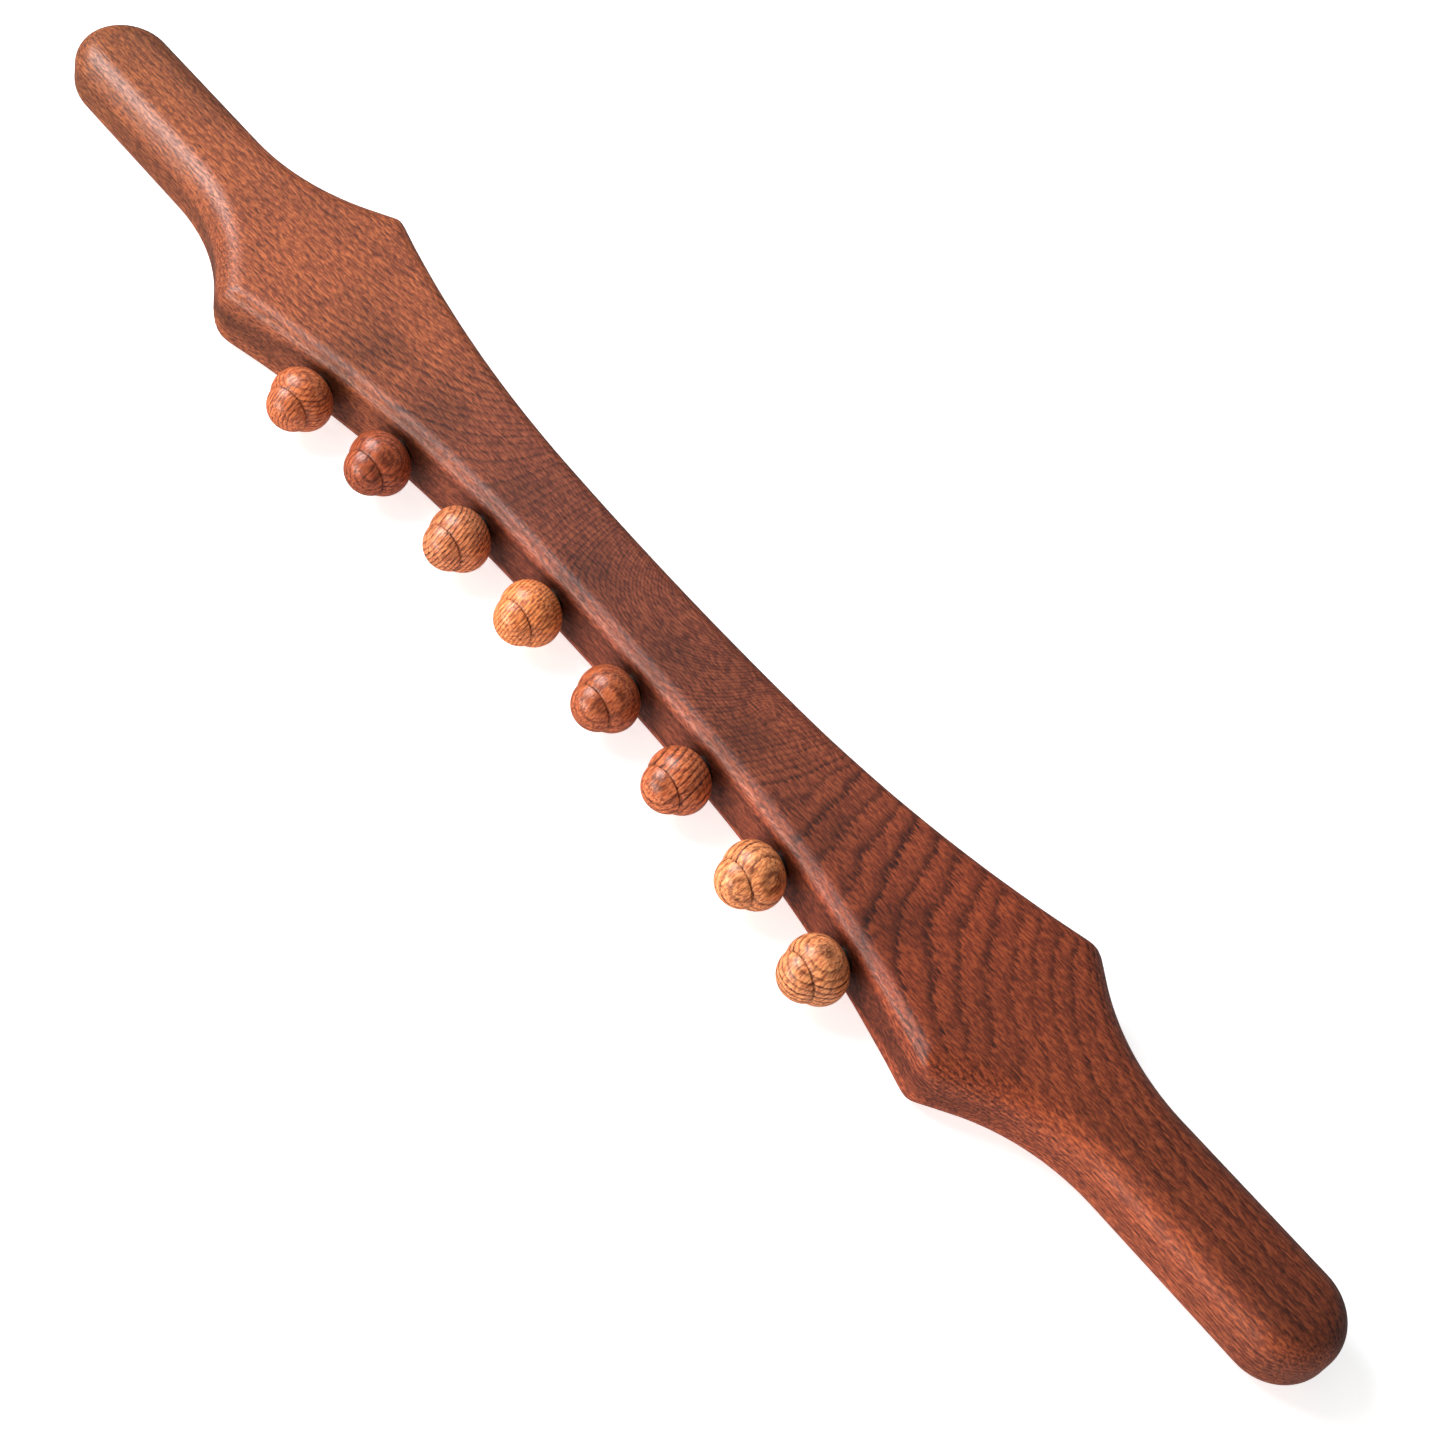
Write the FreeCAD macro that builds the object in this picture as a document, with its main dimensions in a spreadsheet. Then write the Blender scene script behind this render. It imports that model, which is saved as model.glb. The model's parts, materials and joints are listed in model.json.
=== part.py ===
import FreeCAD, Part
import math
import os
import Sketcher

# Wooden roller massager: one carved board with two round-ended handles, and eight turned
# rollers that each spin on a steel axle square to the board's hollow front edge.
# Millimetres.  X runs along the board, Y across it (the rollers are on the -Y edge) and Z
# through its thickness.  The origin is the centre of the board's flat back face.

ROLLER_COUNT = 8
ROLLERS_PER_GROUP = 2

# alias, size, what it is
DIMENSIONS = [
    ("overall_length", 520.0, "board, tip to tip"),
    ("board_thickness", 22.0, "planed board"),
    ("waist_half_back", 13.5, "centre line to the back edge at the waist"),
    ("waist_half_front", 15.0, "centre line to the front edge at the waist"),
    ("waist_middle_radius", 1140.0, "shallow arc in the middle of each long edge"),
    ("waist_join_x", 50.0, "where the middle arc runs into the outer arc"),
    ("waist_outer_radius", 387.0, "outer arc of each long edge, up to the shoulder"),
    ("waist_round_over", 5.0, "round-over along the waist"),
    ("handle_half_width", 15.0, "centre line to the side of a handle"),
    ("handle_start_x", 196.0, "where a handle's straight side starts"),
    ("shoulder_blend_radius", 65.0, "hollow arc from the handle to the shoulder"),
    ("shoulder_slope", 36.0, "degrees, slope of the shoulder's outer side"),
    ("shoulder_corner_radius", 11.0, "blunted shoulder corner, in plan"),
    ("handle_round_over", 8.5, "round-over along the handles and shoulder slopes"),
    ("blank_half_width", 60.0, "half width of the sawn blank"),
    ("blank_spare", 20.0, "blank beyond each tip"),
    ("cutter_overrun", 3.0, "how far a cutter runs past the surface that it cuts"),
    ("group_pitch", 64.0, "from one pair of rollers to the next, along X"),
    ("roller_pitch", 30.5, "between the two rollers of a pair, along X"),
    ("axle_radius", 1.5, "axle pin"),
    ("axle_clearance", 0.05, "radial clearance of the axle in its bush"),
    ("axle_inner_depth", 16.4, "board edge to the axle's inner end"),
    ("axle_grip", 10.8, "length of axle held in the roller"),
    ("axle_chamfer", 0.3, "chamfer on the axle's two ends"),
    ("bush_radius", 3.5, "bush sleeve, pressed into the board"),
    ("bush_length", 14.0, "bush sleeve under its flange"),
    ("flange_radius", 4.0, "bush flange, hidden behind the roller's back face"),
    ("flange_proud", 1.0, "flange standing out of the board"),
    ("seat_depth", 0.5, "spot face that the flange sits in"),
    ("seat_clearance", 0.1, "around the flange"),
    ("socket_depth", 18.0, "board edge to the bottom of the socket"),
    ("end_play", 0.1, "axial clearance at each running face"),
    ("ring_outer_radius", 2.8, "retaining ring, outside"),
    ("ring_groove_radius", 1.15, "bottom of the axle's ring groove"),
    ("ring_thickness", 0.6, "retaining ring"),
    ("ring_gap", 1.6, "opening of the retaining ring"),
    ("ring_play", 0.05, "axial clearance of the retaining ring in its groove, each side"),
    ("roller_belly_radius", 7.0, "arc of the roller's wide part"),
    ("roller_belly_offset", 2.4, "that arc's centre, from the axis"),
    ("roller_belly_height", 6.75, "that arc's centre, from the roller's back face"),
    ("roller_nose_radius", 7.5, "ball nose"),
    ("roller_nose_height", 10.2, "nose centre, from the roller's back face"),
    ("roller_neck_radius", 6.8, "bottom of the turned step behind the nose"),
    ("roller_bore_depth", 11.0, "blind hole for the axle"),
]

START, END, CENTRE = 1, 2, 3
ROOT = (-1, START)
X_AXIS, Y_AXIS = -1, -2
ALONG_Z = FreeCAD.Vector(0, 0, 1)
FLAT = 1e-6
BISECTIONS = 60
# The round post that shapes a shoulder corner is a little oversize, so that it crosses the
# board's edges cleanly where a true tangent would graze them.
POST_OVERSIZE = 1.01

doc = FreeCAD.newDocument("roller_massager")
sheet = doc.addObject("Spreadsheet::Sheet", "dims")
for row, (alias, size, meaning) in enumerate(DIMENSIONS, start=1):
    sheet.set(f"A{row}", str(size))
    sheet.setAlias(f"A{row}", alias)
    sheet.set(f"B{row}", meaning)
doc.recompute()


def value(expression):
    """The number that an expression over the sheet's aliases gives."""
    result = doc.getObject("dims").evalExpression(expression)
    return float(getattr(result, "Value", result))


def bound(expression):
    """The same expression as another object writes it."""
    for alias in sorted((entry[0] for entry in DIMENSIONS), key=len, reverse=True):
        expression = expression.replace(alias, "dims." + alias)
    return expression


def origin_plane(body, role):
    """The body's own origin plane with this role."""
    return next(item for item in body.Origin.OriginFeatures if item.Role == role)


def new_body(name):
    """An empty body whose label is its name."""
    body = doc.addObject("PartDesign::Body", name)
    body.Label = name
    return body


def new_sketch(body, name, role):
    """A sketch on one of the body's origin planes."""
    sketch = body.newObject("Sketcher::SketchObject", name)
    sketch.AttachmentSupport = [(origin_plane(body, role), "")]
    sketch.MapMode = "FlatFace"
    return sketch


def tie(sketch, kind, *args, size=None):
    """Add a constraint; size is an expression over the sheet that drives it."""
    if size is None:
        sketch.addConstraint(Sketcher.Constraint(kind, *args))
        return
    start_value = value(size)
    if kind == "Angle":
        start_value = math.radians(start_value)
    index = sketch.addConstraint(Sketcher.Constraint(kind, *args, start_value))
    sketch.setExpression(f"Constraints[{index}]", bound(size))


def place_point(sketch, geometry, end, across, along):
    """Fix a sketch point: each coordinate is an expression, or None to leave it free."""
    for kind, axis, expression in (("DistanceX", Y_AXIS, across), ("DistanceY", X_AXIS, along)):
        if expression is None:
            continue
        size = value(expression)
        if abs(size) < FLAT:
            tie(sketch, "PointOnObject", geometry, end, axis)
        elif size > 0:
            tie(sketch, kind, *ROOT, geometry, end, size=expression)
        else:
            tie(sketch, kind, geometry, end, *ROOT, size=f"-({expression})")


def arc(centre_x, centre_y, radius, start_degrees, end_degrees):
    """An arc that runs anticlockwise between two directions."""
    circle = Part.Circle(FreeCAD.Vector(centre_x, centre_y, 0), ALONG_Z, radius)
    return Part.ArcOfCircle(circle, math.radians(start_degrees), math.radians(end_degrees))


def line(start, end):
    """A straight sketch line."""
    return Part.LineSegment(FreeCAD.Vector(*start, 0), FreeCAD.Vector(*end, 0))


def arc_ends(curve):
    """An arc's two ends as plain pairs."""
    first, last = curve.StartPoint, curve.EndPoint
    return (first.x, first.y), (last.x, last.y)


def pad_and_mirror(body, sketch):
    """Pad the right-hand half to the board's thickness and mirror it to the left."""
    pad = body.newObject("PartDesign::Pad", body.Name + "_pad")
    pad.Profile = sketch
    pad.setExpression("Length", bound("board_thickness"))
    mirror = body.newObject("PartDesign::Mirrored", body.Name + "_mirror")
    mirror.Originals = [pad]
    mirror.MirrorPlane = (origin_plane(body, "YZ_Plane"), [""])
    mirror.Refine = True
    body.Tip = mirror
    doc.recompute()
    return mirror


def round_over(body, base, radius, wanted):
    """Fillet the wanted edges of the two flat faces."""
    names = [
        f"Edge{number}"
        for number, edge in enumerate(base.Shape.Edges, start=1)
        if edge.BoundBox.ZLength < FLAT and wanted(edge)
    ]
    fillet = body.newObject("PartDesign::Fillet", body.Name + "_round_over")
    fillet.Base = (base, names)
    fillet.setExpression("Radius", bound(radius))
    body.Tip = fillet
    doc.recompute()


def waist_form():
    """The board as the two hollow long edges cut it: their arcs run on past the shoulders."""
    middle = value("waist_middle_radius")
    outer = value("waist_outer_radius")
    join_x = value("waist_join_x")
    far_x = value("overall_length / 2 + blank_spare")
    join_turn = math.degrees(math.asin(join_x / middle))
    outer_x = join_x - outer * math.sin(math.radians(join_turn))
    far_turn = math.degrees(math.asin((far_x - outer_x) / outer))
    outer_rise = (middle - outer) * math.cos(math.radians(join_turn))

    body = new_body("waist_form")
    sketch = new_sketch(body, "waist_plan", "XY_Plane")
    back_y = value("waist_half_back") + middle
    front_y = -value("waist_half_front") - middle
    back_middle = arc(0, back_y, middle, -90, -90 + join_turn)
    back_outer = arc(outer_x, back_y - outer_rise, outer, -90 + join_turn, -90 + far_turn)
    front_outer = arc(outer_x, front_y + outer_rise, outer, 90 - far_turn, 90 - join_turn)
    front_middle = arc(0, front_y, middle, 90 - join_turn, 90)
    far_back = arc_ends(back_outer)[1]
    far_front = arc_ends(front_outer)[0]
    sketch.addGeometry([
        back_middle,
        back_outer,
        line(far_back, far_front),
        front_outer,
        front_middle,
        line(arc_ends(front_middle)[1], arc_ends(back_middle)[0]),
    ], False)
    tie(sketch, "Tangent", 0, END, 1, START)
    tie(sketch, "Coincident", 1, END, 2, START)
    tie(sketch, "Coincident", 2, END, 3, START)
    tie(sketch, "Tangent", 3, END, 4, START)
    tie(sketch, "Coincident", 4, END, 5, START)
    tie(sketch, "Coincident", 5, END, 0, START)
    for middle_arc, outer_arc in ((0, 1), (4, 3)):
        tie(sketch, "Radius", middle_arc, size="waist_middle_radius")
        tie(sketch, "Radius", outer_arc, size="waist_outer_radius")
    place_point(sketch, 0, CENTRE, "0", "waist_half_back + waist_middle_radius")
    place_point(sketch, 4, CENTRE, "0", "-waist_half_front - waist_middle_radius")
    place_point(sketch, 0, START, "0", None)
    place_point(sketch, 4, END, "0", None)
    place_point(sketch, 0, END, "waist_join_x", None)
    place_point(sketch, 4, START, "waist_join_x", None)
    place_point(sketch, 2, START, "overall_length / 2 + blank_spare", None)
    tie(sketch, "Vertical", 2)
    blank = pad_and_mirror(body, sketch)
    round_over(body, blank, "waist_round_over", lambda edge: isinstance(edge.Curve, Part.Circle))
    return body


def handle_form():
    """The board as the handles and the shoulder slopes cut it, full width in the middle."""
    tip_x = value("overall_length / 2 - handle_half_width")
    half = value("handle_half_width")
    start_x = value("handle_start_x")
    blend = value("shoulder_blend_radius")
    slope = value("shoulder_slope")
    wide = value("blank_half_width")

    body = new_body("handle_form")
    sketch = new_sketch(body, "handle_plan", "XY_Plane")
    back_blend = arc(start_x, half + blend, blend, -90 - slope, -90)
    front_blend = arc(start_x, -half - blend, blend, 90, 90 + slope)
    back_join = arc_ends(back_blend)[0]
    front_join = arc_ends(front_blend)[1]
    top_x = back_join[0] - (wide - back_join[1]) / math.tan(math.radians(slope))
    sketch.addGeometry([
        arc(tip_x, 0, half, -90, 90),
        line((tip_x, half), (start_x, half)),
        back_blend,
        line(back_join, (top_x, wide)),
        line((top_x, wide), (0, wide)),
        line((0, wide), (0, -wide)),
        line((0, -wide), (top_x, -wide)),
        line((top_x, -wide), front_join),
        front_blend,
        line((start_x, -half), (tip_x, -half)),
    ], False)
    tie(sketch, "Tangent", 0, END, 1, START)
    tie(sketch, "Tangent", 1, END, 2, END)
    tie(sketch, "Tangent", 2, START, 3, START)
    tie(sketch, "Coincident", 3, END, 4, START)
    tie(sketch, "Coincident", 4, END, 5, START)
    tie(sketch, "Coincident", 5, END, 6, START)
    tie(sketch, "Coincident", 6, END, 7, START)
    tie(sketch, "Tangent", 7, END, 8, END)
    tie(sketch, "Tangent", 8, START, 9, START)
    tie(sketch, "Tangent", 9, END, 0, START)
    place_point(sketch, 0, CENTRE, "overall_length / 2 - handle_half_width", "0")
    tie(sketch, "Radius", 0, size="handle_half_width")
    tie(sketch, "Horizontal", 1)
    tie(sketch, "Horizontal", 9)
    for blend_arc in (2, 8):
        tie(sketch, "Radius", blend_arc, size="shoulder_blend_radius")
        place_point(sketch, blend_arc, CENTRE, "handle_start_x", None)
    tie(sketch, "Angle", 3, size="180 - shoulder_slope")
    tie(sketch, "Symmetric", 3, END, 7, START, X_AXIS)
    place_point(sketch, 3, END, None, "blank_half_width")
    tie(sketch, "Horizontal", 4)
    tie(sketch, "Horizontal", 6)
    place_point(sketch, 5, START, "0", None)
    place_point(sketch, 5, END, "0", None)
    blank = pad_and_mirror(body, sketch)
    round_over(body, blank, "handle_round_over", lambda edge: True)
    return body


def edge_point(x, half_width):
    """Point and slope angle of a hollow long edge at a station along the board."""
    middle = value("waist_middle_radius")
    outer = value("waist_outer_radius")
    join_x = value("waist_join_x")
    if abs(x) <= join_x:
        turn = math.asin(abs(x) / middle)
        return half_width + middle * (1 - math.cos(turn)), math.copysign(turn, x)
    join_turn = math.asin(join_x / middle)
    turn = math.asin((abs(x) - join_x) / outer + math.sin(join_turn))
    rise = middle * (1 - math.cos(join_turn)) + outer * (math.cos(join_turn) - math.cos(turn))
    return half_width + rise, math.copysign(turn, x)


def shoulder_corner(half_width):
    """Where the hollow edge meets the shoulder slope, and the edge's slope angle there."""
    slope = math.radians(value("shoulder_slope"))
    blend = value("shoulder_blend_radius")
    join_x = value("handle_start_x") - blend * math.sin(slope)
    join_y = value("handle_half_width") + blend * (1 - math.cos(slope))
    low, high = value("waist_join_x"), join_x
    for _ in range(BISECTIONS):
        x = (low + high) / 2
        if edge_point(x, half_width)[0] < join_y + (join_x - x) * math.tan(slope):
            low = x
        else:
            high = x
    return low, edge_point(low, half_width)


def corner_cutters():
    """Four pieces of waste that blunt the shoulder corners to a round in plan."""
    slope = math.radians(value("shoulder_slope"))
    radius = value("shoulder_corner_radius")
    overrun = value("cutter_overrun")
    cutters = []
    for name, side in (("back", 1), ("front", -1)):
        x, (y, turn) = shoulder_corner(value(f"waist_half_{name}"))
        half_turn = (slope + turn) / 2
        lean = (slope - turn) / 2
        reach = radius / math.cos(half_turn)
        for hand, end in (("left", -1), ("right", 1)):
            out = FreeCAD.Vector(end * math.sin(lean), side * math.cos(lean), 0)
            centre = FreeCAD.Vector(end * x, side * y, -overrun) - out * reach
            turned = FreeCAD.Rotation(FreeCAD.Vector(0, 1, 0), out)
            box = doc.addObject("Part::Box", f"corner_block_{name}_{hand}")
            box.setExpression("Length", bound("shoulder_corner_radius * 2"))
            box.setExpression("Width", bound("shoulder_corner_radius"))
            box.setExpression("Height", bound("board_thickness + cutter_overrun * 2"))
            sideways = turned.multVec(FreeCAD.Vector(-radius, 0, 0))
            start = centre + sideways + out * (radius * math.cos(half_turn))
            box.Placement = FreeCAD.Placement(start, turned)
            post = doc.addObject("Part::Cylinder", f"corner_post_{name}_{hand}")
            post.setExpression("Radius", bound(f"shoulder_corner_radius * {POST_OVERSIZE}"))
            post.setExpression("Height", bound("board_thickness + cutter_overrun * 2"))
            post.Placement = FreeCAD.Placement(centre, FreeCAD.Rotation())
            waste = doc.addObject("Part::Cut", f"corner_waste_{name}_{hand}")
            waste.Base = box
            waste.Tool = post
            cutters.append(waste)
    return cutters


def roller_stations():
    """Placement of every roller: origin on the front edge, local +Z square out of the board."""
    groups = ROLLER_COUNT // ROLLERS_PER_GROUP
    stations = []
    for group in range(groups):
        middle = (group - (groups - 1) / 2) * value("group_pitch")
        for place in range(ROLLERS_PER_GROUP):
            x = middle + (place - (ROLLERS_PER_GROUP - 1) / 2) * value("roller_pitch")
            y, turn = edge_point(x, value("waist_half_front"))
            out = FreeCAD.Vector(-math.sin(turn), -math.cos(turn), 0)
            point = FreeCAD.Vector(x, -y, value("board_thickness / 2"))
            turned = FreeCAD.Rotation(ALONG_Z, out)
            stations.append(FreeCAD.Placement(point, turned))
    return stations


def shifted(station, height):
    """The station's placement moved outwards along its axis."""
    offset = FreeCAD.Vector(0, 0, value(height))
    return station.multiply(FreeCAD.Placement(offset, FreeCAD.Rotation()))


def rod(name, station, radius, bottom, length):
    """A cylinder on a station's axis: its bottom is measured outwards from the board's edge."""
    cylinder = doc.addObject("Part::Cylinder", name)
    cylinder.setExpression("Radius", bound(radius))
    cylinder.setExpression("Height", bound(length))
    cylinder.Placement = shifted(station, bottom)
    return cylinder


def bar(stations):
    """The carved board with a stepped blind socket for every roller."""
    carved = doc.addObject("Part::Common", "carved_board")
    carved.Base = waist_form()
    carved.Tool = handle_form()
    cuts = corner_cutters()
    for number, station in enumerate(stations, start=1):
        seat_radius = "flange_radius + seat_clearance"
        bore = rod(f"socket_{number}", station, "bush_radius", "-socket_depth", "socket_depth")
        seat = rod(f"seat_{number}", station, seat_radius, "-seat_depth", "seat_depth + cutter_overrun")
        cuts += [bore, seat]
    waste = doc.addObject("Part::MultiFuse", "board_waste")
    waste.Shapes = cuts
    finished = doc.addObject("Part::Cut", "bar")
    finished.Base = carved
    finished.Tool = waste
    finished.Label = "bar"
    return finished


def turned_body(name, geometry, points, extra=()):
    """Revolve a closed outline about its own axis.

    The outline is drawn in the body's XZ plane: across is the radius, along is the axis.
    geometry is the list of curves; points are (curve, end, radius, height) expressions.
    """
    body = new_body(name)
    sketch = new_sketch(body, name + "_outline", "XZ_Plane")
    sketch.addGeometry(geometry, False)
    for number in range(len(geometry)):
        tie(sketch, "Coincident", number, END, (number + 1) % len(geometry), START)
    for curve, end, radius, height in points:
        place_point(sketch, curve, end, radius, height)
    for kind, curve, size in extra:
        tie(sketch, kind, curve, size=size)
    revolution = body.newObject("PartDesign::Revolution", name + "_turned")
    revolution.Profile = sketch
    revolution.ReferenceAxis = (sketch, ["V_Axis"])
    revolution.Angle = 360
    body.Tip = revolution
    return body


def turned_steps(name, corners):
    """Revolve an outline of straight steps; corners are pairs of expressions."""
    places = [(value(radius), value(height)) for radius, height in corners]
    geometry = [line(a, b) for a, b in zip(places, places[1:] + places[:1])]
    points = [(number, START, *corner) for number, corner in enumerate(corners)]
    return turned_body(name, geometry, points)


def roller(name, station):
    """A turned roller: wide belly next to the board, turned step, ball nose, blind axle hole."""
    belly = value("roller_belly_radius")
    offset = value("roller_belly_offset")
    height = value("roller_belly_height")
    neck = value("roller_neck_radius")
    nose = value("roller_nose_radius")
    nose_height = value("roller_nose_height")
    bore = value("axle_radius")
    depth = value("roller_bore_depth")
    back_turn = -math.degrees(math.asin(height / belly))
    neck_turn = math.degrees(math.acos((neck - offset) / belly))
    neck_height = height + belly * math.sin(math.radians(neck_turn))
    nose_turn = math.degrees(math.asin((neck_height - nose_height) / nose))
    belly_arc = arc(offset, height, belly, back_turn, neck_turn)
    nose_arc = arc(0, nose_height, nose, nose_turn, 90)
    geometry = [
        line((bore, 0), arc_ends(belly_arc)[0]),
        belly_arc,
        line(arc_ends(belly_arc)[1], arc_ends(nose_arc)[0]),
        nose_arc,
        line(arc_ends(nose_arc)[1], (0, depth)),
        line((0, depth), (bore, depth)),
        line((bore, depth), (bore, 0)),
    ]
    points = [
        (0, START, "axle_radius", "0"),
        (1, START, None, "0"),
        (1, CENTRE, "roller_belly_offset", "roller_belly_height"),
        (1, END, "roller_neck_radius", None),
        (3, CENTRE, "0", "roller_nose_height"),
        (3, END, "0", None),
        (5, START, "0", "roller_bore_depth"),
        (6, START, "axle_radius", "roller_bore_depth"),
    ]
    sizes = [
        ("Radius", 1, "roller_belly_radius"),
        ("Radius", 3, "roller_nose_radius"),
        ("Horizontal", 2, None),
    ]
    body = turned_body(name, geometry, points, sizes)
    body.Placement = shifted(station, "flange_proud + end_play")
    return body


def axle(name, station):
    """A steel pin: held in the roller, free in the bush, with a ring groove near its inner end."""
    groove_low = "-bush_length - seat_depth - end_play - ring_thickness - ring_play"
    groove_high = "-bush_length - seat_depth - end_play + ring_play"
    outer_end = "flange_proud + end_play + axle_grip"
    corners = [
        ("0", "-axle_inner_depth"),
        ("axle_radius - axle_chamfer", "-axle_inner_depth"),
        ("axle_radius", "-axle_inner_depth + axle_chamfer"),
        ("axle_radius", groove_low),
        ("ring_groove_radius", groove_low),
        ("ring_groove_radius", groove_high),
        ("axle_radius", groove_high),
        ("axle_radius", f"{outer_end} - axle_chamfer"),
        ("axle_radius - axle_chamfer", outer_end),
        ("0", outer_end),
    ]
    body = turned_steps(name, corners)
    body.Placement = station
    return body


def bush(name, station):
    """A flanged bush: its sleeve is pressed into the board and its flange keeps the roller off."""
    bore = "axle_radius + axle_clearance"
    corners = [
        (bore, "-bush_length - seat_depth"),
        ("bush_radius", "-bush_length - seat_depth"),
        ("bush_radius", "-seat_depth"),
        ("flange_radius", "-seat_depth"),
        ("flange_radius", "flange_proud"),
        (bore, "flange_proud"),
    ]
    body = turned_steps(name, corners)
    body.Placement = station
    return body


def retaining_ring(name, station):
    """A split ring snapped into the axle's groove behind the bush."""
    low = "-bush_length - seat_depth - end_play - ring_thickness"
    disc = rod(f"{name}_disc", station, "ring_outer_radius", low, "ring_thickness")
    hole = rod(f"{name}_hole", station, "ring_groove_radius", low, "ring_thickness")
    gap = doc.addObject("Part::Box", f"{name}_gap")
    gap.setExpression("Length", bound("ring_outer_radius"))
    gap.setExpression("Width", bound("ring_gap"))
    gap.setExpression("Height", bound("ring_thickness"))
    side = FreeCAD.Vector(0, -value("ring_gap / 2"), 0)
    gap.Placement = shifted(station, low).multiply(FreeCAD.Placement(side, FreeCAD.Rotation()))
    waste = doc.addObject("Part::MultiFuse", f"{name}_waste")
    waste.Shapes = [hole, gap]
    ring = doc.addObject("Part::Cut", name)
    ring.Base = disc
    ring.Tool = waste
    ring.Label = name
    return ring


def check(objects):
    """Stop if anything in the document failed or a sub-part isn't one sound solid."""
    for item in doc.Objects:
        if "Invalid" in item.State or "Error" in item.State:
            raise RuntimeError(f"{item.Label} failed: {item.State}")
    for item in objects:
        shape = item.Shape
        if shape.isNull() or not shape.isValid() or len(shape.Solids) != 1:
            raise RuntimeError(f"{item.Label} isn't one valid solid")


stations = roller_stations()
nodes = [bar(stations)]
for number, station in enumerate(stations, start=1):
    nodes.append(roller(f"roller_{number}", station))
    nodes.append(axle(f"axle_{number}", station))
    nodes.append(bush(f"bush_{number}", station))
    nodes.append(retaining_ring(f"retaining_ring_{number}", station))
doc.recompute()
check(nodes)

os.makedirs("parts", exist_ok=True)
for node in nodes:
    node.Shape.exportStep(f"parts/{node.Label}.step")
    box = node.Shape.BoundBox
    print(
        f"{node.Label}: {node.Shape.Volume:.1f} mm3,"
        f" x {box.XMin:.2f}..{box.XMax:.2f},"
        f" y {box.YMin:.2f}..{box.YMax:.2f},"
        f" z {box.ZMin:.2f}..{box.ZMax:.2f}"
    )
for number, station in enumerate(stations, start=1):
    base = station.Base
    out = station.Rotation.multVec(FreeCAD.Vector(0, 0, 1))
    print(f"station {number}: {base.x:.4f} {base.y:.4f} {base.z:.4f} {out.x:.6f} {out.y:.6f}")
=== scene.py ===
import json
import math

import bpy
import numpy as np
from mathutils import Matrix, Vector

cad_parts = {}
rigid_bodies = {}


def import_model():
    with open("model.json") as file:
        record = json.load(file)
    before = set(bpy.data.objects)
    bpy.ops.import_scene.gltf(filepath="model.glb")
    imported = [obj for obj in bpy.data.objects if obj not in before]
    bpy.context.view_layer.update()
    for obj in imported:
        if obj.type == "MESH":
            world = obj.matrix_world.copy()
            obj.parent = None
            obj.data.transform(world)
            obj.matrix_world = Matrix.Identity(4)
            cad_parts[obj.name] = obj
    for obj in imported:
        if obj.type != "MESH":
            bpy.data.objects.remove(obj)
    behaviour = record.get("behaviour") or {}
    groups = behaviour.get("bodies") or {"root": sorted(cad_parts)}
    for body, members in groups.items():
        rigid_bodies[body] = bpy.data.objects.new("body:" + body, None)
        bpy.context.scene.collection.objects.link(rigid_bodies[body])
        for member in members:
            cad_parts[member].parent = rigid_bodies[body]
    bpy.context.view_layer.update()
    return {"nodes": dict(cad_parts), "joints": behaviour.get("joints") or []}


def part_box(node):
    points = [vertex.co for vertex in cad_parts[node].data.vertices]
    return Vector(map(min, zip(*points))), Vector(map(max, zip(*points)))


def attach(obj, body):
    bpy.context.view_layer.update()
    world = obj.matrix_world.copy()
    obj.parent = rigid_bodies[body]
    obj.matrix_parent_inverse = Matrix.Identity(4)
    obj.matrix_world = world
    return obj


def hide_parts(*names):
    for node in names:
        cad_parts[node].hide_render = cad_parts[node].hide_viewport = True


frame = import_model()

# Looks of the wooden roller massager: a carved dark hardwood bar and eight turned rollers.
# Metres in Blender; sizes below are millimetres where their name ends in MM.
MM = 0.001

# ---- bar, as carved -------------------------------------------------------------------------
BAR_LOW, BAR_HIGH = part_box("bar")
HALF_LENGTH_MM = (BAR_HIGH.x - BAR_LOW.x) / 2 / MM
HALF_THICK_MM = (BAR_HIGH.z - BAR_LOW.z) / 2 / MM
WAIST_HALF_MM = {"back": 13.5, "front": 15.0}
MIDDLE_RADIUS_MM = 1140.0
OUTER_RADIUS_MM = 387.0
ARC_JOIN_MM = 50.0
WAIST_ROUND_MM = 5.0
HANDLE_HALF_MM = 15.0
HANDLE_START_MM = 196.0
BLEND_RADIUS_MM = 65.0
SLOPE = math.radians(36.0)
CORNER_RADIUS_MM = 11.0
HANDLE_ROUND_MM = 8.5
RIDGE_SHARPNESS = 9
STATION_STEP_MM = 0.92
TIP_STATIONS = 22
SECTION_POINTS = 68
FINE_POINTS = 400
TIP_INSET_MM = 0.002
WIDEST_MM = 60.0
WIDTH_BISECTIONS, CORNER_BISECTIONS = 40, 50
SHARP_ANGLE = math.radians(50)
SOCKET_RADIUS_MM, SOCKET_DEPTH_MM = 3.5, 18.0
SEAT_RADIUS_MM, SEAT_DEPTH_MM = 4.1, 0.5
DRILL_OVERRUN_MM, DRILL_SEGMENTS = 2.0, 48

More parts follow.
